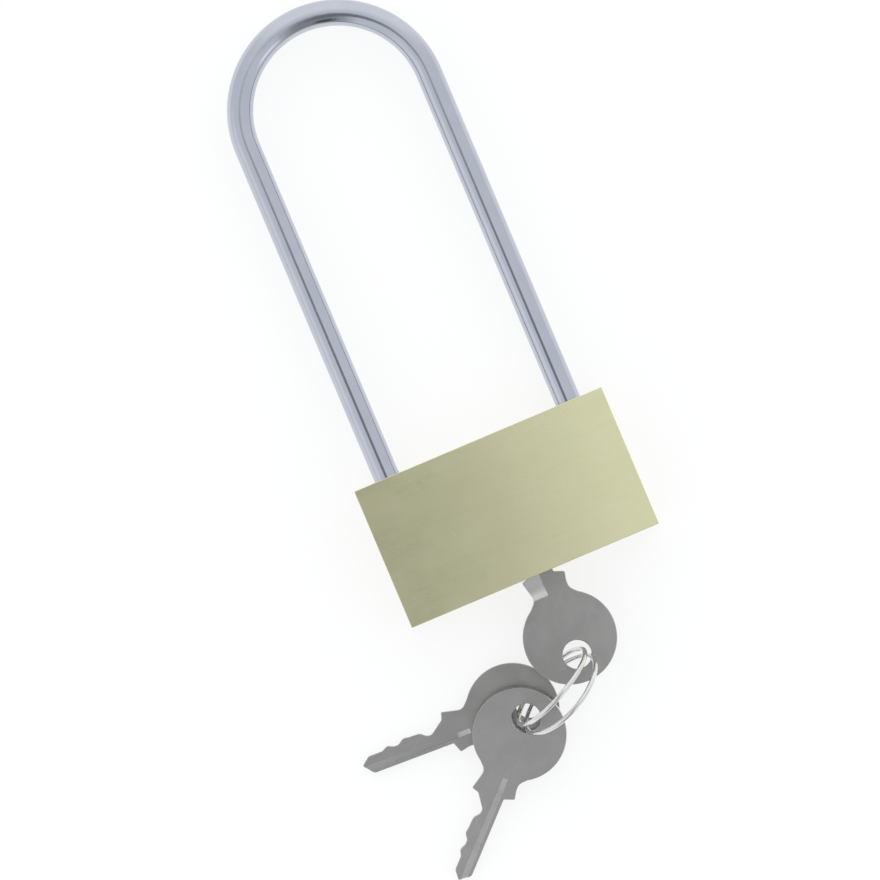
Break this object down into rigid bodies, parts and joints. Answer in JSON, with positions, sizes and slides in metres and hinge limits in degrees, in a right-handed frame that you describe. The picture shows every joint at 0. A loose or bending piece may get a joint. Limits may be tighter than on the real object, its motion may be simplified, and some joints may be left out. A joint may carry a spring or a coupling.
{
  "type": "padlock",
  "caption": "Rectangular brass padlock with a long round shackle, locked, with a key in its cylinder and spare keys on a two-turn wire ring.",
  "frame": {"origin": "centre of the body's back face, on which the padlock lies", "axes": "+X to the right as the front is seen with the shackle up, +Y along the shackle away from the keyway, +Z out of the front face"},
  "size_m": [0.0689, 0.163, 0.0194],
  "materials": {
    "body_brass": "satin",
    "shackle_chrome": "polished",
    "turned_brass": "turned",
    "steel": "plain",
    "key_nickel": "satin nickel",
    "ring_steel": "polished"
  },
  "bodies": {
    "case": {"body": "body_brass", "cylinder_retaining_pin": "steel", "bolt_bore_plug": "body_brass", "heel_retainer": "steel", "bolt_spring": "steel", "shackle_spring": "steel", "driver_pin_1": "turned_brass", "pin_spring_1": "steel", "chamber_plug_1": "body_brass", "driver_pin_2": "turned_brass", "pin_spring_2": "steel", "chamber_plug_2": "body_brass", "driver_pin_3": "turned_brass", "pin_spring_3": "steel", "chamber_plug_3": "body_brass", "driver_pin_4": "turned_brass", "pin_spring_4": "steel", "chamber_plug_4": "body_brass"},
    "plug": {"cylinder_plug": "turned_brass", "cam_pin": "steel", "key_pin_1": "turned_brass", "key_pin_2": "turned_brass", "key_pin_3": "turned_brass", "key_pin_4": "turned_brass", "key_in_lock": "key_nickel"},
    "bolt_bar": {"bolt": "steel"},
    "shackle_bar": {"shackle": "shackle_chrome"},
    "ring": {"key_ring": "ring_steel"},
    "spare_1": {"spare_key_1": "key_nickel"},
    "spare_2": {"spare_key_2": "key_nickel"}
  },
  "joints": [
    {"name": "key_turn", "type": "hinge", "parent": "case", "child": "plug", "pos_m": [0.0015, 0, 0.0065], "axis": [0, 1, 0], "range_deg": [0, 90]},
    {"name": "bolt_slide", "type": "slide", "parent": "case", "child": "bolt_bar", "axis": [1, 0, 0], "range_m": [0, 0.004], "deforming": ["bolt_spring"]},
    {"name": "shackle_lift", "type": "slide", "parent": "case", "child": "shackle_bar", "axis": [0, 1, 0], "range_m": [0, 0.0112], "deforming": ["shackle_spring"]},
    {"name": "ring_swing", "type": "hinge", "parent": "plug", "child": "ring", "pos_m": [0.0015, -0.03055, 0.0065], "axis": [0, 0, 1], "range_deg": [-18, 25]},
    {"name": "spare_key_1_swing", "type": "hinge", "parent": "ring", "child": "spare_1", "pos_m": [-0.01023, -0.03573, 0.0029], "axis": [-0.0594, 0.0023, 0.9982], "range_deg": [-20, 20]},
    {"name": "spare_key_2_swing", "type": "hinge", "parent": "ring", "child": "spare_2", "pos_m": [-0.01181, -0.03775, 0.00553], "axis": [-0.0979, -0.0967, 0.9905], "range_deg": [-20, 20]}
  ],
  "couplings": [
    {"joint": "bolt_slide", "follows": "key_turn", "m_per_rad": 0.0025465},
    {"joint": "shackle_lift", "follows": "key_turn", "m_per_rad": 0.0071301}
  ]
}
